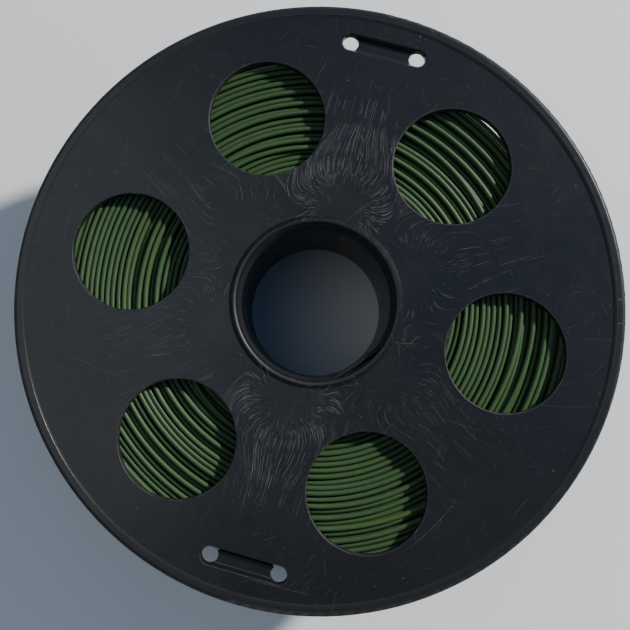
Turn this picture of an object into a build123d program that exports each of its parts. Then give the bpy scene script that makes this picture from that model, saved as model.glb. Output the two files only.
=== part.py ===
from build123d import *
import math
import os

# Filament spool for 3D printing, lying on its rear flange with its axis along +Z.
# Origin: centre of the circle on which the rear rim rests. Millimetres throughout.

# Overall size
SPOOL_RADIUS = 100.0
FACE_WIDTH = 68.6  # between the outer faces of the two flanges
RIM_RAISE = 0.7  # how far each rim stands proud of its face
FLANGE_THICKNESS = 3.5

# Flange rim
RIM_FOOT_RADIUS = 96.2
RIM_TOP_RADIUS = 96.7
RIM_TOP_ROUNDING = 0.25  # inner corner of the raised rim
RIM_EDGE_ROUNDING = 1.4
BACK_EDGE_ROUNDING = 1.0  # outer corner on the side of the winding

# Windows through each flange
WINDOW_COUNT = 6
WINDOW_PITCH_RADIUS = 63.5
WINDOW_RADIUS = 19.35
WINDOW_EDGE_ROUNDING = 0.35

# Recessed grooves near the rim, each with two holes that park the end of the filament
PARKING_RADIUS = 87.5
PARKING_HOLE_SPACING = 23.0
PARKING_HOLE_RADIUS = 2.7
GROOVE_MOUTH_WIDTH = 6.1
GROOVE_FLOOR_WIDTH = 3.6
GROOVE_DEPTH = 2.0

# Bore sleeve and its seat in each flange
BORE_RADIUS = 24.9
SLEEVE_OUTER_RADIUS = 26.2
SLEEVE_SINK = 1.0  # the sleeve ends this far below each outer face
MOUTH_RADIUS = 25.75
MOUTH_DEPTH = 6.6
SEAT_CLEARANCE = 0.03
LIP_RADIUS = 26.0
LIP_RAISE = 0.35
LIP_FOOT_RADIUS = 28.5
LIP_TOP_RADIUS = 27.4
LIP_TOP_ROUNDING = 0.15
LIP_EDGE_ROUNDING = 1.1
BOSS_OUTER_RADIUS = 29.0
BOSS_DEPTH = 12.0  # below the outer face

# Winding drum and the spigot ring that centres it on each flange
DRUM_OUTER_RADIUS = 45.0
DRUM_INNER_RADIUS = 43.0
SPIGOT_CLEARANCE = 0.1
SPIGOT_WALL = 2.0
SPIGOT_DEPTH = 9.5  # below the outer face
RIB_COUNT = 6
RIB_THICKNESS = 1.6
RIB_DEPTH = 8.0  # below the outer face

# Filament
STRAND_RADIUS = 0.875
WINDING_OUTER_RADIUS = 84.0
WINDING_SIDE_GAP = 0.15

# Start of the filament: a straight chord across the edge of the bore mouth
START_ANGLE = -41.4  # direction of the middle of the chord, seen on the outer face
START_OFFSET = 24.4  # distance of the chord from the axis
START_DROP = 4.6  # below the outer face
START_TIP = 18.0  # how far the chord runs past its middle, away from the winding
CHANNEL_WIDTH = 2.3
CHANNEL_DEPTH = 2.3  # below the inner face of the flange
CHANNEL_END_ROOM = 2.0  # beyond the tip of the filament
SLEEVE_HOLE_RADIUS = 1.05
NOTCH_OFFSET = 24.0  # the mouth notch removes the sleeve wall beyond this distance

# Shallow round mark on the wall of the bore
MARK_ANGLE = 83.3
MARK_DROP = 24.0  # below the front face
MARK_RADIUS = 1.6
MARK_DEPTH = 0.4

# Free end of the filament, threaded through one groove of the rear flange
LEAD_START_HEIGHT = 13.0
LEAD_CORNER_HEIGHT = 10.5
LEAD_BEND_RADIUS = 5.0
HOLE_BEND_RADIUS = 2.2
LEAD_TIP_HEIGHT = 15.0
STRAND_SEAT_GAP = 0.01

RADIUS_TOLERANCE = 0.01  # for picking edges by their radius

# Derived heights
REAR_FACE = RIM_RAISE
FRONT_FACE = REAR_FACE + FACE_WIDTH
REAR_INNER_FACE = REAR_FACE + FLANGE_THICKNESS
FRONT_INNER_FACE = FRONT_FACE - FLANGE_THICKNESS
SPIGOT_RADIUS = DRUM_INNER_RADIUS - SPIGOT_CLEARANCE
SEAT_RADIUS = SLEEVE_OUTER_RADIUS + SEAT_CLEARANCE

# Each flange is drawn on the plane of its own outer face, whose normal points outwards.
# The rear flange is the same moulding turned over about the X axis.
FRONT_PLANE = Plane(origin=(0, 0, FRONT_FACE), x_dir=(1, 0, 0), z_dir=(0, 0, 1))
REAR_PLANE = Plane(origin=(0, 0, REAR_FACE), x_dir=(1, 0, 0), z_dir=(0, 0, -1))

START_MIDDLE = (
    START_OFFSET * math.cos(math.radians(START_ANGLE)),
    START_OFFSET * math.sin(math.radians(START_ANGLE)),
)
START_DIRECTION = START_ANGLE + 90


def section_plane(face):
    """The half plane through the axis: X is the radius, Y the height above the face."""
    return Plane(origin=face.origin, x_dir=face.x_dir, z_dir=-face.y_dir)


def chord_plane(face):
    """A plane across the starting chord at its middle, its normal along the chord."""
    along = Vector(1, 0, 0).rotate(Axis.Z, START_DIRECTION)
    middle = face.from_local_coords(Vector(*START_MIDDLE, -START_DROP))
    direction = face.from_local_coords(along) - face.origin
    return Plane(origin=middle, x_dir=face.z_dir, z_dir=direction)


def nearest_corner(sketch, radius, height):
    """The corner of a section sketch closest to the given radius and height."""
    return sketch.vertices().sort_by_distance((radius, height))[0]


def make_flange(face):
    """One flange: disc, rim, lip, windows, parking grooves and inner rings in one moulding."""
    inner_face = -FLANGE_THICKNESS
    with BuildPart() as flange:
        with BuildSketch(section_plane(face)) as section:
            with BuildLine():
                Polyline(
                    (SEAT_RADIUS, -BOSS_DEPTH),
                    (BOSS_OUTER_RADIUS, -BOSS_DEPTH),
                    (BOSS_OUTER_RADIUS, inner_face),
                    (SPIGOT_RADIUS - SPIGOT_WALL, inner_face),
                    (SPIGOT_RADIUS - SPIGOT_WALL, -SPIGOT_DEPTH),
                    (SPIGOT_RADIUS, -SPIGOT_DEPTH),
                    (SPIGOT_RADIUS, inner_face),
                    (SPOOL_RADIUS, inner_face),
                    (SPOOL_RADIUS, RIM_RAISE),
                    (RIM_TOP_RADIUS, RIM_RAISE),
                    (RIM_FOOT_RADIUS, 0),
                    (LIP_FOOT_RADIUS, 0),
                    (LIP_TOP_RADIUS, LIP_RAISE),
                    (LIP_RADIUS, LIP_RAISE),
                    (LIP_RADIUS, -SLEEVE_SINK),
                    (SEAT_RADIUS, -SLEEVE_SINK),
                    close=True,
                )
            make_face()
            fillet(nearest_corner(section, SPOOL_RADIUS, RIM_RAISE), RIM_EDGE_ROUNDING)
            fillet(nearest_corner(section, SPOOL_RADIUS, inner_face), BACK_EDGE_ROUNDING)
            fillet(nearest_corner(section, RIM_TOP_RADIUS, RIM_RAISE), RIM_TOP_ROUNDING)
            fillet(nearest_corner(section, LIP_RADIUS, LIP_RAISE), LIP_EDGE_ROUNDING)
            fillet(nearest_corner(section, LIP_TOP_RADIUS, LIP_RAISE), LIP_TOP_ROUNDING)
        revolve(axis=Axis(face.origin, face.z_dir))

        with BuildSketch(face.offset(inner_face)):
            rib_middle = (BOSS_OUTER_RADIUS + SPIGOT_RADIUS - SPIGOT_WALL) / 2
            rib_length = SPIGOT_RADIUS - BOSS_OUTER_RADIUS
            with PolarLocations(rib_middle, RIB_COUNT, start_angle=180 / RIB_COUNT):
                Rectangle(rib_length, RIB_THICKNESS)
        extrude(amount=FLANGE_THICKNESS - RIB_DEPTH)

        with BuildSketch(face):
            with PolarLocations(WINDOW_PITCH_RADIUS, WINDOW_COUNT):
                Circle(WINDOW_RADIUS)
        extrude(amount=inner_face, mode=Mode.SUBTRACT)
        window_edges = flange.edges().filter_by(
            lambda edge: edge.geom_type == GeomType.CIRCLE
            and abs(edge.radius - WINDOW_RADIUS) < RADIUS_TOLERANCE
        )
        fillet(window_edges, WINDOW_EDGE_ROUNDING)

        for side in (-1, 1):
            with BuildSketch(face):
                with Locations((0, side * PARKING_RADIUS)):
                    SlotCenterToCenter(PARKING_HOLE_SPACING, GROOVE_MOUTH_WIDTH)
            with BuildSketch(face.offset(-GROOVE_DEPTH)):
                with Locations((0, side * PARKING_RADIUS)):
                    SlotCenterToCenter(PARKING_HOLE_SPACING, GROOVE_FLOOR_WIDTH)
            loft(mode=Mode.SUBTRACT)
        with BuildSketch(face):
            with GridLocations(PARKING_HOLE_SPACING, 2 * PARKING_RADIUS, 2, 2):
                Circle(PARKING_HOLE_RADIUS)
        extrude(amount=inner_face, mode=Mode.SUBTRACT)

        # Channel that lets the start of the filament cross the boss and the spigot ring
        with BuildSketch(face.offset(inner_face)):
            with Locations(Location(START_MIDDLE, START_DIRECTION)):
                with Locations((-START_TIP - CHANNEL_END_ROOM, 0)):
                    Rectangle(
                        START_TIP + CHANNEL_END_ROOM + DRUM_OUTER_RADIUS,
                        CHANNEL_WIDTH,
                        align=(Align.MIN, Align.CENTER),
                    )
        extrude(amount=-CHANNEL_DEPTH, mode=Mode.SUBTRACT)
    return flange


front_flange = make_flange(FRONT_PLANE)
front_flange.part.label = "front_flange"

rear_flange = make_flange(REAR_PLANE)
rear_flange.part.label = "rear_flange"

# Winding drum: a plain tube over the two spigot rings, notched where the filament starts
with BuildPart() as winding_drum:
    with BuildSketch(Plane.XY.offset(REAR_INNER_FACE)):
        Circle(DRUM_OUTER_RADIUS)
        Circle(DRUM_INNER_RADIUS, mode=Mode.SUBTRACT)
    extrude(amount=FRONT_INNER_FACE - REAR_INNER_FACE)
    for face in (FRONT_PLANE, REAR_PLANE):
        with BuildSketch(face.offset(-FLANGE_THICKNESS)):
            with Locations(START_MIDDLE):
                Rectangle(
                    DRUM_OUTER_RADIUS,
                    CHANNEL_WIDTH,
                    rotation=START_DIRECTION,
                    align=(Align.MIN, Align.CENTER),
                )
        extrude(amount=-CHANNEL_DEPTH, mode=Mode.SUBTRACT)
winding_drum.part.label = "winding_drum"

# Bore sleeve: the tube that turns on a holder's shaft, with a flared mouth at each end
with BuildPart() as bore_sleeve:
    low_end = REAR_FACE + SLEEVE_SINK
    high_end = FRONT_FACE - SLEEVE_SINK
    with BuildSketch(Plane.XZ):
        with BuildLine():
            Polyline(
                (MOUTH_RADIUS, low_end),
                (SLEEVE_OUTER_RADIUS, low_end),
                (SLEEVE_OUTER_RADIUS, high_end),
                (MOUTH_RADIUS, high_end),
                (BORE_RADIUS, high_end - MOUTH_DEPTH),
                (BORE_RADIUS, low_end + MOUTH_DEPTH),
                close=True,
            )
        make_face()
    revolve(axis=Axis.Z)
    for face in (FRONT_PLANE, REAR_PLANE):
        # The hole that the starting chord runs through, open to the mouth above it
        with BuildSketch(chord_plane(face)):
            Circle(SLEEVE_HOLE_RADIUS)
        extrude(amount=SLEEVE_OUTER_RADIUS, both=True, mode=Mode.SUBTRACT)
        with BuildSketch(face.offset(-START_DROP)):
            with Locations(Location((0, 0), START_ANGLE)):
                with Locations((NOTCH_OFFSET, 0)):
                    Rectangle(
                        SPOOL_RADIUS - NOTCH_OFFSET,
                        2 * SLEEVE_OUTER_RADIUS,
                        align=(Align.MIN, Align.CENTER),
                    )
        extrude(amount=START_DROP, mode=Mode.SUBTRACT)
    # Shallow round mark left by a mould pin
    mark_outward = Vector(1, 0, 0).rotate(Axis.Z, MARK_ANGLE)
    mark_centre = mark_outward * (BORE_RADIUS - MARK_DEPTH)
    mark_plane = Plane(
        origin=(mark_centre.X, mark_centre.Y, FRONT_FACE - MARK_DROP),
        z_dir=mark_outward,
    )
    with BuildSketch(mark_plane):
        Circle(MARK_RADIUS)
    extrude(amount=2 * MARK_DEPTH, mode=Mode.SUBTRACT)
bore_sleeve.part.label = "bore_sleeve"

# Filament winding: the outer shape of all the turns on the drum
with BuildPart() as filament_winding:
    with BuildSketch(Plane.XY.offset(REAR_INNER_FACE + WINDING_SIDE_GAP)):
        Circle(WINDING_OUTER_RADIUS)
        Circle(DRUM_OUTER_RADIUS, mode=Mode.SUBTRACT)
    extrude(amount=FRONT_INNER_FACE - REAR_INNER_FACE - 2 * WINDING_SIDE_GAP)
filament_winding.part.label = "filament_winding"

# Start of the filament: straight from the foot of the winding, through the drum notch and
# the channel, across the bore mouth, and back into the hub through the sleeve
with BuildPart() as filament_start:
    with BuildSketch(chord_plane(FRONT_PLANE).offset(-START_TIP)):
        Circle(STRAND_RADIUS)
    extrude(amount=START_TIP + DRUM_OUTER_RADIUS)
    with BuildSketch(Plane.XY.offset(REAR_FACE)):
        Circle(DRUM_OUTER_RADIUS)
    extrude(amount=FACE_WIDTH, mode=Mode.INTERSECT)
filament_start.part.label = "filament_start"

# Free end of the filament: off the outside of the winding the way it was wound, out through
# a parking hole of the rear flange, along its groove and back in through the other hole
lead_radius = WINDING_OUTER_RADIUS + STRAND_RADIUS + STRAND_SEAT_GAP
groove_height = REAR_FACE + GROOVE_DEPTH - STRAND_RADIUS - STRAND_SEAT_GAP
hole_x = PARKING_HOLE_SPACING / 2
hole_angle = math.degrees(math.atan2(PARKING_RADIUS, hole_x))
leave_angle = hole_angle - math.degrees(
    math.acos(lead_radius / math.hypot(hole_x, PARKING_RADIUS))
)
leave_point = Vector(lead_radius, 0, LEAD_START_HEIGHT).rotate(Axis.Z, leave_angle)
with BuildPart() as filament_end:
    with BuildLine() as lead_path:
        FilletPolyline(
            leave_point,
            (hole_x, PARKING_RADIUS, LEAD_CORNER_HEIGHT),
            (hole_x, PARKING_RADIUS, groove_height),
            (-hole_x, PARKING_RADIUS, groove_height),
            (-hole_x, PARKING_RADIUS, LEAD_TIP_HEIGHT),
            radius=[LEAD_BEND_RADIUS, HOLE_BEND_RADIUS, HOLE_BEND_RADIUS],
        )
    with BuildSketch(Plane(origin=lead_path.line @ 0, z_dir=lead_path.line % 0)):
        Circle(STRAND_RADIUS)
    sweep()
filament_end.part.label = "filament_end"

os.makedirs("parts", exist_ok=True)
for piece in (
    front_flange,
    rear_flange,
    winding_drum,
    bore_sleeve,
    filament_winding,
    filament_start,
    filament_end,
):
    export_step(piece.part, f"parts/{piece.part.label}.step")
    print(f"{piece.part.label}: {piece.part.volume / 1000:.2f} cm3")

lead_length = sum(edge.length for edge in lead_path.line.edges())
lead_volume = math.pi * STRAND_RADIUS**2 * lead_length
print(f"filament_end: {lead_length:.1f} mm long, section times length {lead_volume:.0f} mm3")
print(f"filament_end bend radii: {LEAD_BEND_RADIUS}, {HOLE_BEND_RADIUS}, {HOLE_BEND_RADIUS} mm")
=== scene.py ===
import math

import bpy
import numpy as np
from mathutils import Euler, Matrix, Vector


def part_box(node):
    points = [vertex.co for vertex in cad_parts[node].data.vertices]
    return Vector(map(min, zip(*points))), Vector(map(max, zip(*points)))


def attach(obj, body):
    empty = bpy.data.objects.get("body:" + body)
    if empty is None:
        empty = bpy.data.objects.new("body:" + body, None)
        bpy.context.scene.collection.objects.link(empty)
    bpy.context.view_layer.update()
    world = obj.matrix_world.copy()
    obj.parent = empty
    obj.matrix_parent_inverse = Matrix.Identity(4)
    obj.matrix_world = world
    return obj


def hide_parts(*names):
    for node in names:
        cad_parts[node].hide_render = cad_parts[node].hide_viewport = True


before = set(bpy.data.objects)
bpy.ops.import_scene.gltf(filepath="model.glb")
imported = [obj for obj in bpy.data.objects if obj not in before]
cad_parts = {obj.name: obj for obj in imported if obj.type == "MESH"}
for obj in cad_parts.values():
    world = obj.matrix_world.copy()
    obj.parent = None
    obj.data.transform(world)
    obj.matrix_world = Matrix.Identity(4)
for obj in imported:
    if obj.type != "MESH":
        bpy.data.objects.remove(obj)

# Looks of a filament spool that lies on its rear flange, axis along +Z, front face up.
# Sizes are in millimetres and become metres when a mesh or an object is made.
MM = 0.001
TURN = 2 * math.pi
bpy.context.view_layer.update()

# Sizes read from the CAD pieces
FLANGE_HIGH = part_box("front_flange")[1]
DRUM_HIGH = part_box("winding_drum")[1]
WINDING_LOW, WINDING_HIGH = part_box("filament_winding")
SLEEVE_LOW, SLEEVE_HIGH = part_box("bore_sleeve")
SPOOL_RADIUS = FLANGE_HIGH.x / MM
RIM_TOP = FLANGE_HIGH.z / MM
DRUM_RADIUS = DRUM_HIGH.x / MM
WINDING_RADIUS = WINDING_HIGH.x / MM
WINDING_REAR = WINDING_LOW.z / MM
WINDING_FRONT = WINDING_HIGH.z / MM
SLEEVE_RADIUS = SLEEVE_HIGH.x / MM
SLEEVE_MIDDLE = (SLEEVE_LOW.z + SLEEVE_HIGH.z) / 2 / MM
SLEEVE_HALF = (SLEEVE_HIGH.z - SLEEVE_LOW.z) / 2 / MM

# Sizes that the CAD source also drives
RIM_RAISE = 0.7
RIM_FOOT_RADIUS = 96.2
WINDOW_PITCH_RADIUS = 63.5
WINDOW_RADIUS = 19.35
WINDOW_COUNT = 6
PARKING_RADIUS = 87.5
PARKING_HOLE_SPACING = 23.0
GROOVE_MOUTH_WIDTH = 6.1
GROOVE_FLOOR_WIDTH = 3.6
LIP_FOOT_RADIUS = 28.5
LIP_RADIUS = 26.0
BORE_RADIUS = 24.9
MOUTH_DEPTH = 6.6
MARK_ANGLE = 83.3
MARK_DROP = 24.0  # depth of the round mark's middle below the front face
MARK_HALF_WIDTH = 1.6
MARK_HALF_HEIGHT = 11.0
START_ANGLE_ON_FACE = -41.4  # from the axis to the strand across the bore mouth, in degrees
START_OFFSET = 24.4  # distance of that strand from the axis
STRAND_RADIUS = 0.875
FRONT_FACE = RIM_TOP - RIM_RAISE
SECTOR = TURN / WINDOW_COUNT

# Winding: one strand, wound counter-clockwise seen from the front, in layers that change
# over at the flanges. Even layers run from the front flange to the rear one.
LAYER_COUNT = 21
TURNS_PER_LAYER = 31
LAYER_WANDER = 0.5  # turns by which a layer is longer or shorter, at most
START_ANGLE = 15.7
CLIMB_SPAN = 62.0  # degrees taken by the climb from one layer to the next
OVAL_AZIMUTH = 150.0  # where the outside of the winding stands furthest out
OVAL_SHARE = 0.0145  # of the winding's depth
END_TURN_LEAN = 0.75  # 0 is an even helix, 1 holds the end turn flat against the flange
CROWDING = 0.12  # how far groups of lanes are pushed together and apart
WAVE_SIZES = (0.05, 0.05, 0.035, 0.02)  # for one, two, three and four waves a turn
SINK_MOST = 1.3  # how far the end turns of a lane stay clear of the flange
SINK_TURNS = 6.0  # turns over which that gap closes up
LEAD_ANGLE = 66.634  # where the free end leaves the winding
LEAD_HEIGHT = 13.0
LEAD_STEEPENING = 1.6  # 1 is an even descent, more starts flat and ends steep
LEAD_SHORTEST = 0.6  # turns
LEAD_CLEARANCE = 0.01  # between the lead and the outside of the winding
LAYER_PITCH = (WINDING_RADIUS - DRUM_RADIUS - 2 * STRAND_RADIUS) / (LAYER_COUNT - 1)
FRONT_TURN = WINDING_FRONT - STRAND_RADIUS
REAR_TURN = WINDING_REAR + STRAND_RADIUS

# How finely the strand is meshed
FINE_STEPS = 120  # points in a turn that shows
COARSE_STEPS = 40  # points in a turn that other turns cover
FINE_SIDES = 10
COARSE_SIDES = 6
SHOWN_TURNS = 3.2  # turns of each layer that show beside a flange

# Flow of the plastic in a flange, from the mould's six gates between the windows
GATE_RADIUS = 33.0
GATE_CLEAR = 6.5  # the long streaks start this far from a gate
FAN_TURN_START = 9.0  # from here to FAN_TURN_END the streaks bend towards the rim
FAN_TURN_END = 31.0
FAN_SPREAD = 8.6  # half width of a fan beyond the bend, for each radian at the gate
FAN_FADES = 20.0  # the long streaks thin out from here to FAN_END
FAN_END = 46.0
QUIET_SHARE = 0.26  # how much a gate far from the parking grooves streaks, of the most
SECTOR_APART = 41.0  # keeps the streaks of the six gates different
FACE_SECTORS = 9.0  # keeps the streaks of the two flanges different, in sectors
FACE_APART = 31.0  # keeps the other marks of the two flanges different

# Scratches: spacing, share of the cells that have one, half width, strength, shift in X and Y
SCRATCHES = (
    (26.0, 0.5, 0.1, 0.6, 0.0, 0.0),
    (12.0, 0.35, 0.08, 0.55, 7.0, 0.0),
    (5.0, 0.26, 0.07, 0.5, 0.0, 5.0),
    (2.2, 0.2, 0.055, 0.5, 3.0, 0.0),
)

# Filament colours, and how often they change in a millimetre of its length
COLOUR_DRIFT = 0.003
GREEN_DEEP = (0.028, 0.067, 0.023, 1)
GREEN_FULL = (0.042, 0.092, 0.032, 1)
GREEN_YELLOWER = (0.047, 0.094, 0.022, 1)
GREEN_RUBBED = (0.07, 0.11, 0.055, 1)
# Painted shade for the strand across the bore mouth
GREEN_PAINTED_SHADE = (0.004, 0.009, 0.005, 1)

FLOOR_WIDTH = 6.0  # metres

# Sky: dim overhead, blue on one side, pale along the horizon
SKY_DIM = (0.05, 0.052, 0.056, 1)
SKY_BLUE = (0.1, 0.175, 0.34, 1)
SKY_HORIZON = (0.62, 0.67, 0.74, 1)

# Camera, solved from the outlines of the rim, windows, holes and bore
CAMERA_PLACE = (0.00452, -0.02031, 0.36485)  # metres
CAMERA_TURN = (5.7123, 2.2835, 15.4160)  # degrees about X, Y and Z
CAMERA_SENSOR = 36.0
CAMERA_LENS = 51.714
CAMERA_SHIFT_X = 0.06104
CAMERA_SHIFT_Y = -0.06401


# ---------------------------------------------------------------- shader graphs


class Graph:
    """A node tree filled by short calls. Values are numbers or sockets."""

    def __init__(self, owner):
        self.owner = owner
        owner.use_nodes = True
        self.tree = owner.node_tree
        self.tree.nodes.clear()

    def node(self, kind, settings=None, **inputs):
        made = self.tree.nodes.new(kind)
        for key, value in (settings or {}).items():
            setattr(made, key, value)
        for key, value in inputs.items():
            self.plug(value, made.inputs[key.replace("_", " ")])
        return made

    def plug(self, value, socket):
        if isinstance(value, bpy.types.NodeSocket):
            self.tree.links.new(value, socket)
        else:
            socket.default_value = value

    def math(self, operation, *values):
        made = self.tree.nodes.new("ShaderNodeMath")
        made.operation = operation
        for value, socket in zip(values, made.inputs):
            self.plug(value, socket)
        return made.outputs[0]

    def total(self, *values):
        result = values[0]
        for value in values[1:]:
            result = self.math("ADD", result, value)
        return result

    def product(self, *values):
        result = values[0]
        for value in values[1:]:
            result = self.math("MULTIPLY", result, value)
        return result

    def minus(self, value, taken):
        return self.math("SUBTRACT", value, taken)

    def unsigned(self, value):
        """value without its sign."""
        return self.math("ABSOLUTE", value)

    def at_most(self, value, limit):
        return self.math("MINIMUM", value, limit)

    def reach(self, x, y):
        """Length of the step x, y."""
        return self.math("SQRT", self.total(self.product(x, x), self.product(y, y)))

    def fade(self, value, start, end):
        """0 before start and 1 after end, smoothly; with start above end it falls instead."""
        made = self.tree.nodes.new("ShaderNodeMapRange")
        made.interpolation_type = "SMOOTHSTEP"
        falling = start > end
        for name, number in (
            ("Value", value),
            ("From Min", min(start, end)),
            ("From Max", max(start, end)),
            ("To Min", 1.0 if falling else 0.0),
            ("To Max", 0.0 if falling else 1.0),
        ):
            self.plug(number, made.inputs[name])
        return made.outputs["Result"]

    def band(self, value, low, high, soft):
        """1 between low and high, fading to 0 over soft outside them."""
        rise = self.fade(value, low - soft, low)
        fall = self.fade(value, high + soft, high)
        return self.product(rise, fall)

    def point(self, x, y, z=0.0):
        made = self.tree.nodes.new("ShaderNodeCombineXYZ")
        for value, socket in zip((x, y, z), made.inputs):
            self.plug(value, socket)
        return made.outputs[0]

    def split(self, vector):
        made = self.tree.nodes.new("ShaderNodeSeparateXYZ")
        self.plug(vector, made.inputs[0])
        return tuple(made.outputs)

    def scaled(self, vector, amount):
        """A vector or a colour times an amount."""
        made = self.tree.nodes.new("ShaderNodeVectorMath")
        made.operation = "SCALE"
        self.plug(vector, made.inputs[0])
        self.plug(amount, made.inputs["Scale"])
        return made.outputs[0]

    def millimetres(self):
        """The place in the part's own frame, in millimetres."""
        return self.scaled(self.node("ShaderNodeTexCoord").outputs["Object"], 1 / MM)

    def noise(self, place, size, detail=3.0, roughness=0.5):
        """Noise from 0 to 1 whose features measure about size millimetres."""
        made = self.node(
            "ShaderNodeTexNoise",
            Vector=place,
            Scale=1.0 / size,
            Detail=detail,
            Roughness=roughness,
        )
        return made.outputs["Fac"]

    def cells(self, place, spacing):
        """Irregular cells over the plane of X and Y, each with its own place and colour."""
        flat = {"voronoi_dimensions": "2D"}
        return self.node("ShaderNodeTexVoronoi", flat, Vector=place, Scale=1.0 / spacing)

    def mix(self, factor, low, high):
        made = self.tree.nodes.new("ShaderNodeMix")
        made.data_type = "RGBA"
        for name, value in (("Factor_Float", factor), ("A_Color", low), ("B_Color", high)):
            socket = next(s for s in made.inputs if s.identifier == name)
            self.plug(value, socket)
        return next(s for s in made.outputs if s.identifier == "Result_Color")

    def bump(self, height, depth, normal=None):
        """A bump of that depth in millimetres for heights from 0 to 1."""
        made = self.node("ShaderNodeBump", Height=height, Distance=depth * MM)
        if normal is not None:
            self.plug(normal, made.inputs["Normal"])
        return made.outputs[0]

    def surface(self, colour, roughness, normal, **more):
        shader = self.node(
            "ShaderNodeBsdfPrincipled",
            Base_Color=colour,
            Roughness=roughness,
            Normal=normal,
            **more,
        )
        end = self.node("ShaderNodeOutputMaterial")
        self.tree.links.new(shader.outputs[0], end.inputs["Surface"])
        return self.owner


def grey(value, warm=0.0):
    """An opaque near-neutral colour; warm above 0 leans to red, below 0 to blue."""
    return (value * (1 + warm), value, value * (1 - warm), 1.0)


# ---------------------------------------------------------------- marks


def dashes(graph, along, across, length, width, share, fineness):
    """Short straight strokes scattered over a plane: one in each cell of length by width.
    share of the cells have a stroke, fineness is its half width in cells. Gives a mask
    from 0 to 1."""
    x = graph.math("DIVIDE", along, length)
    y = graph.math("DIVIDE", across, width)
    cells = graph.cells(graph.point(x, y), 1.0)
    middle = graph.split(cells.outputs["Position"])
    chance, strength, _ = graph.split(cells.outputs["Color"])
    return graph.product(
        graph.fade(graph.unsigned(graph.minus(y, middle[1])), fineness, fineness * 0.3),
        graph.fade(graph.unsigned(graph.minus(x, middle[0])), 0.5, 0.2),
        graph.math("LESS_THAN", chance, share),
        graph.total(0.25, graph.product(strength, 0.75)),
    )


def hairlines(graph, x, y, spacing, share, half_width):
    """Thin, slightly bent scratches in every direction, one in a cell of that spacing."""
    cells = graph.cells(graph.point(x, y), spacing)
    middle = graph.split(cells.outputs["Position"])
    dx = graph.math("DIVIDE", graph.minus(x, middle[0]), spacing)
    dy = graph.math("DIVIDE", graph.minus(y, middle[1]), spacing)
    chance, turn, strength = graph.split(cells.outputs["Color"])
    angle = graph.product(turn, TURN)
    cosine = graph.math("COSINE", angle)
    sine = graph.math("SINE", angle)
    along = graph.total(graph.product(dx, cosine), graph.product(dy, sine))
    across = graph.minus(graph.product(dy, cosine), graph.product(dx, sine))
    bend = graph.product(along, along, graph.minus(strength, 0.5), 0.5)
    off_line = graph.unsigned(graph.total(across, bend))
    return graph.product(
        graph.fade(off_line, half_width / spacing, half_width * 0.3 / spacing),
        graph.fade(graph.unsigned(along), 0.55, 0.15),
        graph.math("LESS_THAN", chance, share),
        graph.total(0.2, graph.product(strength, 0.8)),
    )


def specks(graph, place, spacing, share, radius):
    """Small round marks, one in a cell of that spacing."""
    cells = graph.cells(place, spacing)
    chance, strength, size = graph.split(cells.outputs["Color"])
    edge = graph.product(graph.total(0.4, size), radius / spacing)
    near = graph.math("LESS_THAN", cells.outputs["Distance"], edge)
    return graph.product(near, graph.math("LESS_THAN", chance, share), strength)


# ---------------------------------------------------------------- flange plastic


class FlangePlace:
    """Where a point of a flange lies. side is 1 for the front flange and -1 for the rear."""

    def __init__(self, graph, side):
        self.side = side
        self.place = graph.millimetres()
        self.x, self.y, self.z = graph.split(self.place)
        self.flat = graph.point(self.x, self.y, side * FACE_APART)
        self.radius = graph.reach(self.x, self.y)
        self.azimuth = graph.math("ARCTAN2", self.y, self.x)
        self.sectors = graph.math("DIVIDE", self.azimuth, SECTOR)
        self.from_window = self.window_distance(graph)
        self.on_rim = graph.fade(self.radius, RIM_FOOT_RADIUS - 0.3, RIM_FOOT_RADIUS + 0.4)
        normal = graph.node("ShaderNodeTexCoord").outputs["Normal"]
        self.on_face = graph.fade(graph.unsigned(graph.split(normal)[2]), 0.9, 0.99)

    def window_distance(self, graph):
        """Distance from the axis of the nearest window."""
        nearest = graph.product(graph.math("ROUND", self.sectors), SECTOR)
        angle = graph.minus(self.azimuth, nearest)
        out = graph.product(self.radius, graph.math("COSINE", angle))
        aside = graph.product(self.radius, graph.math("SINE", angle))
        return graph.reach(graph.minus(out, WINDOW_PITCH_RADIUS), aside)


class GatePlace:
    """Where a point lies seen from the gate in its own sixth of the flange."""

    def __init__(self, graph, at):
        self.sector = graph.math("FLOOR", at.sectors)
        angle = graph.product(graph.minus(graph.minus(at.sectors, self.sector), 0.5), SECTOR)
        out = graph.minus(graph.product(at.radius, graph.math("COSINE", angle)), GATE_RADIUS)
        self.aside = graph.product(at.radius, graph.math("SINE", angle))
        self.distance = graph.reach(out, self.aside)
        self.heading = graph.math("ARCTAN2", self.aside, out)
        self.share = self.streak_share(graph)

    def streak_share(self, graph):
        """How much the gate streaks: the two in line with the parking grooves the most."""
        angle = graph.product(graph.total(self.sector, 0.5), SECTOR)
        in_line = graph.math("POWER", graph.unsigned(graph.math("SINE", angle)), 4.0)
        return graph.total(QUIET_SHARE, graph.product(in_line, 1 - QUIET_SHARE))


def flow_place(graph, at, gate):
    """How far a point lies along the flow and across it. The flow leaves the gate in all
    directions and bends towards the rim. Every sector lies far from the others."""
    bend = graph.fade(gate.distance, FAN_TURN_START, FAN_TURN_END)
    waver = graph.product(graph.minus(graph.noise(at.flat, size=10.0), 0.5), 0.16)
    across = graph.total(
        graph.product(gate.heading, graph.minus(1.0, bend)),
        graph.product(gate.aside, bend, 1 / FAN_SPREAD),
        waver,
    )
    along = graph.math("LOGARITHM", gate.distance, math.e)
    apart = graph.product(graph.total(gate.sector, at.side * FACE_SECTORS), SECTOR_APART)
    return graph.total(along, apart), graph.total(across, apart)


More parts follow.
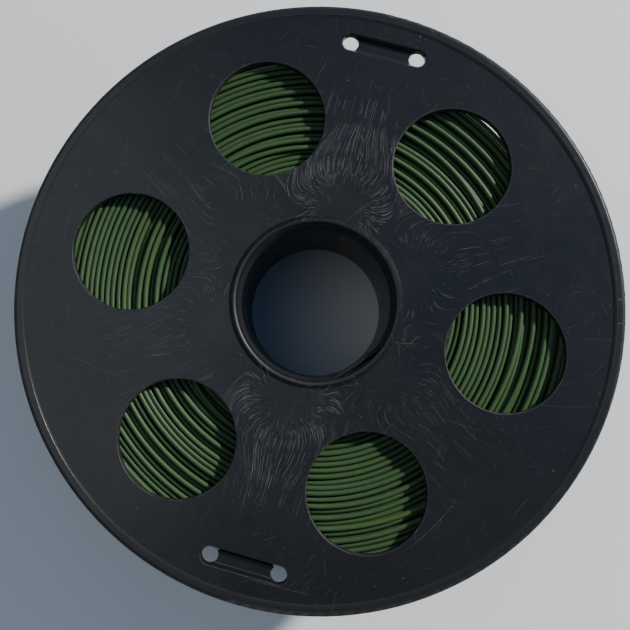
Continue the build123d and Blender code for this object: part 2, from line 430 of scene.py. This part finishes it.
def long_streak_mask(graph, at, gate):
    """The fan in front of a gate where the long streaks lie, in patches."""
    turned_back = graph.product(
        graph.fade(graph.unsigned(gate.heading), 1.5, 2.3),
        graph.fade(gate.distance, 9.0, 17.0),
    )
    return graph.product(
        graph.minus(1.0, turned_back),
        graph.fade(gate.distance, GATE_CLEAR, GATE_CLEAR * 1.8),
        graph.fade(gate.distance, FAN_END, FAN_FADES),
        graph.fade(graph.noise(at.flat, size=13.0), 0.26, 0.56),
        gate.share,
    )


def short_streak_mask(graph, gate):
    """The ring round a gate where the short streaks lie."""
    return graph.product(
        graph.fade(gate.distance, 2.0, GATE_CLEAR * 1.4),
        graph.fade(gate.distance, 26.0, 11.0),
        gate.share,
    )


def flow_streaks(graph, at, gate):
    """Silver streaks in three lengths that follow the flow of the plastic."""
    along, across = flow_place(graph, at, gate)
    fan = long_streak_mask(graph, at, gate)
    ring = short_streak_mask(graph, gate)
    long_ones = dashes(
        graph,
        along,
        across,
        length=0.5,
        width=0.062,
        share=graph.product(fan, 0.62),
        fineness=0.1,
    )
    middle_ones = dashes(
        graph,
        graph.total(along, 5.0),
        graph.total(across, 3.0),
        length=0.3,
        width=0.042,
        share=graph.product(fan, 0.5),
        fineness=0.12,
    )
    short_ones = dashes(
        graph,
        graph.total(along, 11.0),
        graph.total(across, 7.0),
        length=0.15,
        width=0.055,
        share=graph.product(ring, 0.5),
        fineness=0.1,
    )
    streaks = graph.total(long_ones, middle_ones, graph.product(short_ones, 0.55))
    strength = graph.total(0.55, graph.product(gate.share, 0.45))
    return graph.product(streaks, strength, at.on_face)


def face_scratches(graph, at):
    """Handling scratches of four sizes, more of them in some patches than in others."""
    lines = [
        graph.product(
            hairlines(
                graph,
                graph.total(at.x, shift_x),
                graph.total(at.y, shift_y),
                spacing,
                share,
                half_width,
            ),
            strength,
        )
        for spacing, share, half_width, strength, shift_x, shift_y in SCRATCHES
    ]
    patches = graph.fade(graph.noise(at.flat, size=32.0, detail=4.0), 0.4, 0.62)
    visible = graph.total(0.25, graph.product(patches, 0.75))
    return graph.product(graph.total(*lines), visible, at.on_face)


def face_dust(graph, at):
    """Pale specks of two sizes on the faces."""
    fine = specks(graph, at.flat, spacing=3.4, share=0.3, radius=0.12)
    coarse = specks(graph, at.flat, spacing=9.5, share=0.3, radius=0.22)
    return graph.product(graph.total(fine, coarse), at.on_face)


def worn_edges(graph, at, scuffed):
    """Scuffed edges of the windows, the lip and the rim."""
    window = graph.band(at.from_window, WINDOW_RADIUS - 0.1, WINDOW_RADIUS + 0.3, soft=0.15)
    lip = graph.band(at.radius, LIP_RADIUS + 1.4, LIP_FOOT_RADIUS - 0.4, soft=0.2)
    rim = graph.band(at.radius, SPOOL_RADIUS - 0.9, SPOOL_RADIUS + 1.0, soft=0.2)
    return graph.product(graph.total(window, graph.product(lip, 0.4), rim), scuffed)


def painted_groove_highlights(graph, at, scuffed):
    """Painted highlights: thin light lines along the parking grooves, on the side away from the +Y
    edge, where the edges face the light; the scuff wear varies them.
    """
    past_hole = graph.minus(graph.unsigned(at.x), PARKING_HOLE_SPACING / 2)
    past_hole = graph.math("MAXIMUM", past_hole, 0.0)
    groove_y = graph.product(graph.math("SIGN", at.y), PARKING_RADIUS)
    aside = graph.minus(at.y, groove_y)
    from_middle = graph.reach(past_hole, aside)
    mouth = GROOVE_MOUTH_WIDTH / 2
    floor = GROOVE_FLOOR_WIDTH / 2
    return graph.product(
        graph.total(
            graph.band(from_middle, mouth - 0.08, mouth + 0.04, soft=0.1),
            graph.band(from_middle, floor - 0.04, floor + 0.1, soft=0.1),
        ),
        graph.fade(aside, 0.6, -1.2),
        graph.total(0.45, graph.product(scuffed, 0.55)),
    )


def rim_rings(graph, at):
    """Fine lines round the raised rim and the outside of the flange."""
    section = graph.point(graph.product(at.radius, 3.2), graph.product(at.z, 3.2))
    return graph.noise(section, size=1.0, detail=3.0, roughness=0.7)


class FlangeMarks:
    """The masks of all that marks a flange."""

    def __init__(self, graph, at, gate):
        wear = graph.noise(at.place, size=2.6, detail=5.0, roughness=0.7)
        scuffed = graph.fade(wear, 0.5, 0.72)
        self.streaks = flow_streaks(graph, at, gate)
        self.scratches = face_scratches(graph, at)
        self.dust = face_dust(graph, at)
        self.edges = worn_edges(graph, at, scuffed)
        # Painted highlights on the lit side of each parking groove, varied by the scuff wear
        self.grooves = painted_groove_highlights(graph, at, scuffed)
        self.rings = rim_rings(graph, at)
        self.outer_edge = graph.fade(at.radius, SPOOL_RADIUS - 1.4, SPOOL_RADIUS - 0.7)


def flange_base_colour(graph, at, gate):
    """Charcoal that drifts a little, with a painted highlight that makes it slightly paler at the
    gates.
    """
    tone = graph.fade(graph.noise(at.flat, size=55.0, detail=2.0), 0.35, 0.65)
    colour = graph.mix(tone, grey(0.0095, -0.2), grey(0.0125, -0.04))
    cloud = graph.noise(at.flat, size=11.0, detail=4.0)
    colour = graph.scaled(colour, graph.total(0.86, graph.product(cloud, 0.28)))
    # Painted highlight: paler round the gates, where the face's sink marks catch the light.
    painted_gate_highlight = graph.product(graph.fade(gate.distance, GATE_CLEAR * 1.5, 1.0), at.on_face, 0.35)
    return graph.mix(painted_gate_highlight, colour, grey(0.02, -0.03))


def flange_colour(graph, at, gate, marks):
    """The base colour with every mark painted over it, darkened at the seam with the sleeve."""
    colour = flange_base_colour(graph, at, gate)
    rim_tone = graph.product(at.on_rim, graph.fade(marks.rings, 0.5, 0.62), 0.8)
    streak_tone = graph.at_most(graph.product(marks.streaks, 0.8), 0.85)
    for cover, paint in (
        (rim_tone, grey(0.032, -0.02)),
        (streak_tone, grey(0.18, -0.03)),
        (graph.at_most(marks.scratches, 0.7), grey(0.14, -0.03)),
        (graph.product(marks.dust, 0.4), grey(0.2, 0.02)),
        (graph.product(marks.edges, 0.35), grey(0.1, -0.03)),
        # painted highlights along the lit side of the parking grooves
        (graph.product(marks.grooves, 0.6), grey(0.12, -0.08)),
    ):
        colour = graph.mix(cover, colour, paint)
    seam = graph.fade(at.radius, SLEEVE_RADIUS + 0.15, SLEEVE_RADIUS - 0.1)
    return graph.scaled(colour, graph.minus(1.0, graph.product(seam, 0.7)))


def flange_roughness(graph, at, marks):
    """Smooth on the faces, rougher where worn and on the edges."""
    worn = graph.at_most(graph.total(marks.streaks, marks.scratches, marks.edges), 1.0)
    window_edge = graph.fade(at.from_window, WINDOW_RADIUS + 0.45, WINDOW_RADIUS + 0.3)
    lip = graph.band(at.radius, LIP_RADIUS - 0.5, LIP_FOOT_RADIUS - 0.1, soft=0.2)
    return graph.total(
        0.21,
        graph.product(graph.noise(at.flat, size=6.0, detail=5.0, roughness=0.65), 0.12),
        graph.product(worn, 0.25),
        graph.product(at.on_rim, 0.02),
        graph.product(marks.outer_edge, 0.25),
        graph.product(window_edge, 0.25),
        graph.product(lip, 0.2),
    )


def flange_gloss(graph, at, marks):
    """Less on the lip's slope and on the outside edge."""
    lip_slope = graph.band(at.radius, LIP_RADIUS + 1.3, LIP_FOOT_RADIUS - 0.1, soft=0.2)
    dulled = graph.total(graph.product(lip_slope, 0.44), graph.product(marks.outer_edge, 0.3))
    return graph.minus(0.5, dulled)


def flange_relief(graph, at, marks):
    """Slow waves of the moulding, its grain, the rim's rings and the scratches."""
    relief = graph.bump(graph.noise(at.flat, size=16.0, detail=1.0), depth=0.12)
    grain = graph.noise(at.place, size=0.55, detail=3.0, roughness=0.6)
    relief = graph.bump(grain, depth=0.008, normal=relief)
    relief = graph.bump(graph.product(marks.rings, at.on_rim), depth=0.03, normal=relief)
    cut = graph.at_most(graph.total(marks.scratches, marks.edges), 1.0)
    return graph.bump(cut, depth=-0.03, normal=relief)


def flange_plastic(name, side):
    """Glossy charcoal moulding. Silver streaks flow out of six gates round the hub."""
    graph = Graph(bpy.data.materials.new(name))
    at = FlangePlace(graph, side)
    gate = GatePlace(graph, at)
    marks = FlangeMarks(graph, at, gate)
    return graph.surface(
        flange_colour(graph, at, gate, marks),
        flange_roughness(graph, at, marks),
        flange_relief(graph, at, marks),
        IOR=1.5,
        Specular_IOR_Level=flange_gloss(graph, at, marks),
    )


# ---------------------------------------------------------------- hub plastic


class HubPlace:
    """Where a point of the hub lies, and the masks of what shows on it."""

    def __init__(self, graph):
        self.place = graph.millimetres()
        self.x, self.y, self.z = graph.split(self.place)
        self.azimuth = graph.math("ARCTAN2", self.y, self.x)
        self.from_middle = graph.unsigned(graph.minus(self.z, SLEEVE_MIDDLE))
        mouth = SLEEVE_HALF - MOUTH_DEPTH
        self.in_mouth = graph.fade(self.from_middle, mouth - 0.15, mouth + 0.15)
        self.draw_lines = self.make_draw_lines(graph)
        wear = graph.noise(self.place, size=7.0, detail=5.0, roughness=0.7)
        self.rubbed = graph.fade(wear, 0.48, 0.7)

    def make_draw_lines(self, graph):
        """Fine lines along the bore that the mould leaves when it is drawn out."""
        sine = graph.math("SINE", self.azimuth)
        cosine = graph.math("COSINE", self.azimuth)
        drawn_out = graph.point(sine, cosine, graph.product(self.z, 0.004))
        return graph.noise(drawn_out, size=0.03, detail=3.0, roughness=0.6)


def bore_mark(graph, at):
    """The shallow round mark on the wall, drawn out along the bore."""
    from_azimuth = graph.minus(at.azimuth, math.radians(MARK_ANGLE))
    around = graph.product(from_azimuth, BORE_RADIUS / MARK_HALF_WIDTH)
    along = graph.product(graph.minus(at.z, FRONT_FACE - MARK_DROP), 1 / MARK_HALF_HEIGHT)
    from_mark = graph.total(graph.product(around, around), graph.product(along, along))
    return graph.fade(from_mark, 1.2, 0.8)


def hub_colour(graph, at):
    """Painted light: a nearly black wall for the shade down the bore and paler mouths for the light
    they catch, darkened at the seam with the flange's lip.
    """
    # Painted light: the wall's colour stands for the shade deep in the bore, the mouths' paler
    # colour for the light on them.
    wall = graph.mix(graph.noise(at.place, size=14.0), grey(0.002, -0.2), grey(0.0035, -0.16))
    mouth = graph.mix(graph.noise(at.place, size=9.0), grey(0.014, -0.2), grey(0.019, -0.16))
    colour = graph.mix(at.in_mouth, wall, mouth)
    unrolled = graph.point(graph.product(at.azimuth, BORE_RADIUS), at.z)
    dust = specks(graph, unrolled, spacing=3.0, share=0.25, radius=0.16)
    for cover, paint in (
        (graph.product(at.rubbed, at.in_mouth, 0.35), grey(0.03, -0.06)),
        (graph.product(at.draw_lines, at.in_mouth, 0.25), grey(0.02, -0.12)),
        (bore_mark(graph, at), grey(0.12, 0.12)),
        (graph.product(dust, 0.4), grey(0.2)),
    ):
        colour = graph.mix(cover, colour, paint)
    seam = graph.fade(at.from_middle, SLEEVE_HALF - 0.45, SLEEVE_HALF - 0.2)
    return graph.scaled(colour, graph.minus(1.0, graph.product(seam, 0.75)))


def hub_relief(graph, at):
    """Draw lines, faint rings and grain."""
    radius = graph.reach(at.x, at.y)
    section = graph.point(graph.product(radius, 5.0), graph.product(at.z, 5.0))
    relief = graph.bump(at.draw_lines, depth=0.03)
    relief = graph.bump(graph.noise(section, size=1.0, detail=2.0), depth=0.012, normal=relief)
    return graph.bump(graph.noise(at.place, size=0.5, detail=3.0), depth=0.008, normal=relief)


def hub_plastic():
    """Tube plastic with painted light: nearly black and dim along the bore, paler in its satin
    mouths.
    """
    graph = Graph(bpy.data.materials.new("hub_satin"))
    at = HubPlace(graph)
    roughness = graph.total(
        0.2,
        graph.product(at.draw_lines, 0.08),
        graph.product(at.rubbed, 0.06),
        graph.product(at.in_mouth, 0.2),
    )
    gloss = graph.total(0.1, graph.product(at.in_mouth, 0.4))
    return graph.surface(
        hub_colour(graph, at),
        roughness,
        hub_relief(graph, at),
        IOR=1.5,
        Specular_IOR_Level=gloss,
    )


# ---------------------------------------------------------------- filament plastic


def strand_coordinates(graph):
    """Distance along the strand, and a point that goes round with its section. Both come
    from the UV layer of the wound strand."""
    strand = graph.node("ShaderNodeUVMap", {"uv_map": "strand"}).outputs[0]
    distance, around, _ = graph.split(strand)
    circle = graph.product(around, TURN)
    sine = graph.math("SINE", circle)
    cosine = graph.math("COSINE", circle)
    return distance, graph.point(graph.product(distance, 0.12), sine, cosine)


def paint_strand_shade(graph, place, colour):
    """Painted shade: makes a colour nearly black, as if the lip shadowed it, except along the side
    next to the axis.
    """
    x, y, _ = graph.split(place)
    angle = math.radians(START_ANGLE_ON_FACE)
    off_axis = graph.total(graph.product(x, math.cos(angle)), graph.product(y, math.sin(angle)))
    # Painted shade: all but the strand's edge next to the axis is darkened, as if the lip shadowed
    # it.
    painted_shade_share = graph.fade(off_axis, START_OFFSET - 0.85, START_OFFSET - 0.68)
    return graph.mix(graph.product(painted_shade_share, 0.94), colour, GREEN_PAINTED_SHADE)


def filament_plastic(name, along_strand=False, painted_shade=False):
    """Dark green extruded strand with drawing lines, slight colour drift and rubbed spots.
    along_strand says whether the mesh has a UV layer that follows the strand, painted_shade
    that it is the strand across the bore mouth, which is given painted shade."""
    graph = Graph(bpy.data.materials.new(name))
    place = graph.millimetres()
    section = place
    colour = graph.mix(graph.noise(place, size=24.0, detail=3.0), GREEN_DEEP, GREEN_FULL)
    if along_strand:
        distance, section = strand_coordinates(graph)
        batch = graph.noise(graph.product(distance, COLOUR_DRIFT), size=1.0, detail=2.0)
        colour = graph.mix(graph.fade(batch, 0.5, 0.72), colour, GREEN_YELLOWER)
    lines = graph.noise(section, size=0.16, detail=3.0, roughness=0.6)
    blotches = graph.noise(place, size=3.2, detail=4.0, roughness=0.6)
    rubbed = graph.fade(graph.noise(place, size=1.5, detail=5.0, roughness=0.75), 0.6, 0.78)
    shade = graph.total(0.78, graph.product(blotches, 0.24), graph.product(lines, 0.2))
    colour = graph.scaled(colour, shade)
    colour = graph.mix(graph.product(rubbed, 0.3), colour, GREEN_RUBBED)
    # The strand across the bore mouth gets painted shade.
    if painted_shade:
        colour = paint_strand_shade(graph, place, colour)
    roughness = graph.total(0.4, graph.product(blotches, 0.16), graph.product(rubbed, 0.2))
    relief = graph.bump(lines, depth=0.02)
    relief = graph.bump(graph.noise(place, size=0.35, detail=3.0), depth=0.012, normal=relief)
    return graph.surface(colour, roughness, relief, IOR=1.46, Specular_IOR_Level=0.45)


# ---------------------------------------------------------------- winding


def smooth_step(value):
    """0 below 0 and 1 above 1, with a smooth rise between them."""
    value = np.clip(value, 0.0, 1.0)
    return value * value * (3 - 2 * value)


def around_axis(radius, angles, height):
    """Points at those radii, angles and heights about the spool's axis."""
    return np.column_stack([radius * np.cos(angles), radius * np.sin(angles), height])


class Winding:
    """The strand's centreline, worked out from the turns and layers it is wound in."""

    def __init__(self, seed):
        chance = np.random.default_rng(seed)
        self.stations = [math.radians(START_ANGLE)]
        for layer in range(LAYER_COUNT):
            wander = chance.uniform(-LAYER_WANDER, LAYER_WANDER)
            self.stations.append(self.stations[-1] + TURN * (TURNS_PER_LAYER + wander))
        lanes = LAYER_COUNT + 2
        waves = len(WAVE_SIZES)
        self.wave_phase = chance.uniform(0, TURN, (lanes, waves))
        self.wave_size = chance.uniform(0.3, 1.0, (lanes, waves)) * WAVE_SIZES
        self.crowd_step = chance.uniform(0.8, 1.1)
        self.crowd_phase = chance.uniform(0, TURN, 2)
        self.sink_phase = chance.uniform(0, TURN, (2, lanes, 2))
        self.sink_size = chance.uniform(0.0, 1.0, (2, lanes)) ** 2 * SINK_MOST

    def lane_radius(self, lane, angle):
        """Radius of a lane, with the slow waves that the strand's own stiffness leaves."""
        oval = np.cos(2 * (angle - math.radians(OVAL_AZIMUTH)))
        radius = DRUM_RADIUS + STRAND_RADIUS + lane * LAYER_PITCH * (1 + OVAL_SHARE * oval)
        crowding = np.cos(lane * self.crowd_step + angle + self.crowd_phase[0])
        crowding = crowding + np.cos(lane * self.crowd_step * 1.7 - 2 * angle + self.crowd_phase[1])
        inside = np.sin(math.pi * lane / LAYER_COUNT)
        radius = radius + CROWDING * inside * crowding
        for wave in range(len(WAVE_SIZES)):
            swing = np.cos((wave + 1) * angle + self.wave_phase[lane, wave])
            radius = radius + self.wave_size[lane, wave] * swing
        return radius

    def lane_sink(self, end, lane, angle):
        """How far the end turns of a lane stay clear of the flange: end 0 front, 1 rear."""
        phase = self.sink_phase[end, lane]
        swing = 0.5 + 0.35 * np.cos(angle + phase[0]) + 0.15 * np.cos(2 * angle + phase[1])
        return self.sink_size[end, lane] * swing

    def blended(self, layer, angles, lane_value):
        """A value of the layer's lane, blended with its neighbours' where the strand climbs."""
        begin, end = self.stations[layer], self.stations[layer + 1]
        span = math.radians(CLIMB_SPAN)
        still_below = 1 - smooth_step((angles - begin) / span + 0.5)
        already_above = smooth_step((angles - end) / span + 0.5)
        if layer == 0:
            still_below = np.zeros_like(angles)
        here = lane_value(layer)
        below = lane_value(max(layer - 1, 0))
        above = lane_value(layer + 1)
        return here + still_below * (below - here) + already_above * (above - here)

    def advance(self, total_turns, from_begin, from_end):
        """How far along the drum the strand has travelled since the layer's beginning."""
        travel = (FRONT_TURN - REAR_TURN) / total_turns
        lead_in = travel * self.turn_step(from_begin)
        lead_out = FRONT_TURN - REAR_TURN - travel * self.turn_step(from_end)
        share = smooth_step(from_begin / total_turns)
        return lead_in * (1 - share) + lead_out * share

    def points(self, layer, angles):
        """Centres of the strand in one layer at the given running angles."""
        begin, end = self.stations[layer], self.stations[layer + 1]
        from_begin = (angles - begin) / TURN
        from_end = (end - angles) / TURN
        advance = self.advance((end - begin) / TURN, from_begin, from_end)
        if layer % 2 == 0:
            height = FRONT_TURN - advance
            front_distance, rear_distance = from_begin, from_end
        else:
            height = REAR_TURN + advance
            front_distance, rear_distance = from_end, from_begin
        radius = self.blended(layer, angles, lambda lane: self.lane_radius(lane, angles))
        front_sink = self.blended(layer, angles, lambda lane: self.lane_sink(0, lane, angles))
        rear_sink = self.blended(layer, angles, lambda lane: self.lane_sink(1, lane, angles))
        height = height - front_sink * np.exp(-front_distance / SINK_TURNS)
        height = height + rear_sink * np.exp(-rear_distance / SINK_TURNS)
        return around_axis(radius, angles, height)

    @staticmethod
    def turn_step(turns):
        """Turns travelled along the drum: each one lies flat first, then steps across."""
        return turns - END_TURN_LEAN * np.sin(TURN * turns) / TURN

    def lead(self):
        """The last turn on top of the winding, down to where the free end leaves it."""
        begin = self.stations[LAYER_COUNT]
        turns = math.ceil((begin - math.radians(LEAD_ANGLE)) / TURN + LEAD_SHORTEST)
        end = math.radians(LEAD_ANGLE) + turns * TURN
        angles = np.linspace(begin, end, math.ceil((end - begin) / TURN * FINE_STEPS))
        climbed = smooth_step((angles - begin) / math.radians(CLIMB_SPAN) + 0.5)
        share = (angles - begin) / (end - begin)
        settled = smooth_step(share)
        top_radius = WINDING_RADIUS + STRAND_RADIUS + LEAD_CLEARANCE
        lane = self.lane_radius(LAYER_COUNT - 1, angles)
        above = self.lane_radius(LAYER_COUNT, angles) * (1 - settled) + top_radius * settled
        start_height = self.points(LAYER_COUNT - 1, angles[:1])[0, 2]
        height = start_height + (LEAD_HEIGHT - start_height) * share**LEAD_STEEPENING
        return around_axis(lane + climbed * (above - lane), angles, height)


def tube_vertices(centres, sides):
    """Rings of vertices round the centres of a tube whose turns lie about the spool's axis."""
    out = centres[:, :2] / np.linalg.norm(centres[:, :2], axis=1, keepdims=True)
    phase = np.arange(sides) * TURN / sides
    ring_out = STRAND_RADIUS * np.cos(phase)
    vertices = np.repeat(centres[:, None, :], sides, axis=1)
    vertices[:, :, 0] += out[:, None, 0] * ring_out
    vertices[:, :, 1] += out[:, None, 1] * ring_out
    vertices[:, :, 2] += STRAND_RADIUS * np.sin(phase)
    return vertices.reshape(-1, 3)


def tube_quads(count, sides, first_vertex):
    """Faces between the rings of a tube."""
    ring = first_vertex + np.arange(count - 1)[:, None] * sides
    side = np.arange(sides)[None, :]
    following = (side + 1) % sides
    corners = [ring + side, ring + following, ring + sides + following, ring + sides + side]
    return np.stack(corners, axis=-1).reshape(-1, 4)


def tube_uvs(centres, sides, first_length):
    """U is the length along the strand, V goes once round it. Gives the last length too."""
    steps = np.linalg.norm(np.diff(centres, axis=0), axis=1)
    length = first_length + np.concatenate([[0.0], np.cumsum(steps)])
    low_u = np.repeat(length[:-1], sides)
    high_u = np.repeat(length[1:], sides)
    low_v = np.tile(np.arange(sides) / sides, len(steps))
    high_v = low_v + 1.0 / sides
    corners = [low_u, low_v, low_u, high_v, high_u, high_v, high_u, low_v]
    return np.stack(corners, axis=-1).reshape(-1, 2), length[-1]


def strand_mesh(name, runs, sides):
    """A mesh of tubes with flat caps, one tube for each run of centres."""
    vertices, quads, uvs, caps = [], [], [], []
    start, length = 0, 0.0
    for centres in runs:
        vertices.append(tube_vertices(centres, sides))
        quads.append(tube_quads(len(centres), sides, start))
        run_uvs, length = tube_uvs(centres, sides, length)
        uvs.append(run_uvs)
        caps.append(np.arange(start + sides - 1, start - 1, -1))
        start += len(vertices[-1])
        caps.append(np.arange(start - sides, start))
    uvs.append(np.zeros((len(caps) * sides, 2)))
    return build_mesh(
        name,
        np.concatenate(vertices) * MM,
        np.concatenate(quads),
        np.stack(caps),
        np.concatenate(uvs),
    )


def build_mesh(name, vertices, quads, caps, uvs):
    """A mesh of smooth four-sided faces followed by flat caps, with a UV layer."""
    corners = np.concatenate([quads.ravel(), caps.ravel()])
    quad_starts = np.arange(len(quads)) * 4
    cap_starts = len(quads) * 4 + np.arange(len(caps)) * caps.shape[1]
    starts = np.concatenate([quad_starts, cap_starts])
    mesh = bpy.data.meshes.new(name)
    mesh.vertices.add(len(vertices))
    mesh.vertices.foreach_set("co", vertices.astype(np.float32).ravel())
    mesh.loops.add(len(corners))
    mesh.loops.foreach_set("vertex_index", corners.astype(np.int32))
    mesh.polygons.add(len(starts))
    mesh.polygons.foreach_set("loop_start", starts.astype(np.int32))
    mesh.update(calc_edges=True)
    mesh.polygons.foreach_set("use_smooth", np.arange(len(starts)) < len(quads))
    layer = mesh.uv_layers.new(name="strand")
    layer.data.foreach_set("uv", uvs.astype(np.float32).ravel())
    mesh.validate()
    return mesh


def place_object(name, data):
    """A new object in the scene that shows a mesh, light or camera."""
    made = bpy.data.objects.new(name, data)
    bpy.context.scene.collection.objects.link(made)
    return made


def strand_piece(name, runs, sides, material):
    """A visible piece of filament that goes wherever the spool goes."""
    mesh = strand_mesh(name, runs, sides)
    mesh.materials.append(material)
    piece = place_object(name, mesh)
    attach(piece, "root")
    return piece


def run_angles(begin, end, steps):
    """Running angles from begin to end, about steps of them in a turn."""
    return np.linspace(begin, end, max(2, math.ceil((end - begin) / TURN * steps)))


def wind_strand(material):
    """All the turns, in pieces: beside each flange, outside, and covered."""
    winding = Winding(seed=11)
    shown = TURN * SHOWN_TURNS
    beside_front, beside_rear, covered, outside = [], [], [], []
    arriving = None
    for layer in range(LAYER_COUNT):
        begin, end = winding.stations[layer], winding.stations[layer + 1]
        beside = beside_front if layer % 2 == 0 else beside_rear
        leaving = winding.points(layer, run_angles(begin, begin + shown, FINE_STEPS))
        if arriving is not None:
            leaving = np.concatenate([arriving, leaving[1:]])
        beside.append(leaving)
        arriving = winding.points(layer, run_angles(end - shown, end, FINE_STEPS))
        on_top = layer == LAYER_COUNT - 1
        between = outside if on_top else covered
        steps = FINE_STEPS if on_top else COARSE_STEPS
        between.append(winding.points(layer, run_angles(begin + shown, end - shown, steps)))
    outside.append(np.concatenate([arriving, winding.lead()[1:]]))
    half = len(covered) // 2
    pieces = [
        strand_piece("strand_beside_front", beside_front, FINE_SIDES, material),
        strand_piece("strand_beside_rear", beside_rear, FINE_SIDES, material),
        strand_piece("strand_outside", outside, FINE_SIDES, material),
        strand_piece("strand_covered_inner", covered[:half], COARSE_SIDES, material),
        strand_piece("strand_covered_outer", covered[half:], COARSE_SIDES, material),
    ]
    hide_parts("filament_winding")
    print_strand_length(beside_front + beside_rear + covered + outside)


def print_strand_length(runs):
    length = sum(np.linalg.norm(np.diff(run, axis=0), axis=1).sum() for run in runs)
    print(f"strand in the winding: {length / 1000:.1f} m")


# ---------------------------------------------------------------- stage


def floor_paint():
    """Plain pale matt ground with the faintest mottle."""
    graph = Graph(bpy.data.materials.new("floor_pale"))
    place = graph.millimetres()
    mottle = graph.noise(place, size=60.0, detail=4.0)
    colour = graph.mix(mottle, grey(0.84, -0.012), grey(0.88, -0.004))
    relief = graph.bump(graph.noise(place, size=1.2, detail=3.0), depth=0.02)
    return graph.surface(colour, 0.85, relief)


def make_floor():
    mesh = bpy.data.meshes.new("floor")
    half = FLOOR_WIDTH / 2
    corners = [(-half, -half, 0), (half, -half, 0), (half, half, 0), (-half, half, 0)]
    mesh.from_pydata(corners, [], [(0, 1, 2, 3)])
    mesh.materials.append(floor_paint())
    floor = place_object("floor", mesh)


def area_light(name, azimuth, elevation, distance, size, power, colour):
    """A round light aimed at the middle of the front face, distance and size in metres."""
    data = bpy.data.lights.new(name, "AREA")
    data.shape = "DISK"
    data.size = size
    data.energy = power
    data.color = colour
    light = place_object(name, data)
    azimuth = math.radians(azimuth)
    elevation = math.radians(elevation)
    light.location = (
        distance * math.cos(elevation) * math.cos(azimuth),
        distance * math.cos(elevation) * math.sin(azimuth),
        RIM_TOP * MM + distance * math.sin(elevation),
    )
    light.rotation_euler = Euler((0, math.pi / 2 - elevation, azimuth), "XYZ")


def make_lights():
    """A small bright key light that casts the shadows and a wide dim fill."""
    area_light(
        "key",
        azimuth=45,
        elevation=34,
        distance=2.4,
        size=0.17,
        power=88,
        colour=(1.0, 0.97, 0.92),
    )
    area_light(
        "fill_left",
        azimuth=190,
        elevation=65,
        distance=1.8,
        size=1.4,
        power=3.8,
        colour=(0.9, 0.96, 1.0),
    )


def make_sky():
    world = bpy.data.worlds.new("studio")
    sky = Graph(world)
    x, y, z = sky.split(sky.node("ShaderNodeTexCoord").outputs["Generated"])
    towards_blue = sky.total(sky.product(x, 0.7), sky.product(y, 0.9))
    overhead = sky.mix(sky.fade(towards_blue, -0.32, 0.34), SKY_DIM, SKY_BLUE)
    colour = sky.mix(sky.fade(z, 0.08, 0.5), SKY_HORIZON, overhead)
    background = sky.node("ShaderNodeBackground", Color=colour, Strength=1.0)
    end = sky.node("ShaderNodeOutputWorld")
    sky.tree.links.new(background.outputs[0], end.inputs["Surface"])
    bpy.context.scene.world = world


def make_camera():
    """Looks down the axis from above the front face, leaning 6 degrees off it."""
    data = bpy.data.cameras.new("camera")
    data.sensor_width = CAMERA_SENSOR
    data.lens = CAMERA_LENS
    data.shift_x = CAMERA_SHIFT_X
    data.shift_y = CAMERA_SHIFT_Y
    data.clip_start = 0.01
    camera = place_object("camera", data)
    camera.location = CAMERA_PLACE
    camera.rotation_euler = [math.radians(angle) for angle in CAMERA_TURN]
    bpy.context.scene.camera = camera


def dress(node, material):
    """Gives a CAD piece its finished material."""
    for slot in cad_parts[node].material_slots:
        slot.material = material


make_camera()
make_lights()
make_sky()
make_floor()
dress("front_flange", flange_plastic("flange_front_gloss", 1))
dress("rear_flange", flange_plastic("flange_rear_gloss", -1))
hub = hub_plastic()
dress("bore_sleeve", hub)
dress("winding_drum", hub)
# The strand across the bore mouth carries painted shade for the lip's shadow.
dress("filament_start", filament_plastic("filament_painted_shade", painted_shade=True))
dress("filament_end", filament_plastic("filament_free"))
wind_strand(filament_plastic("filament_wound", along_strand=True))
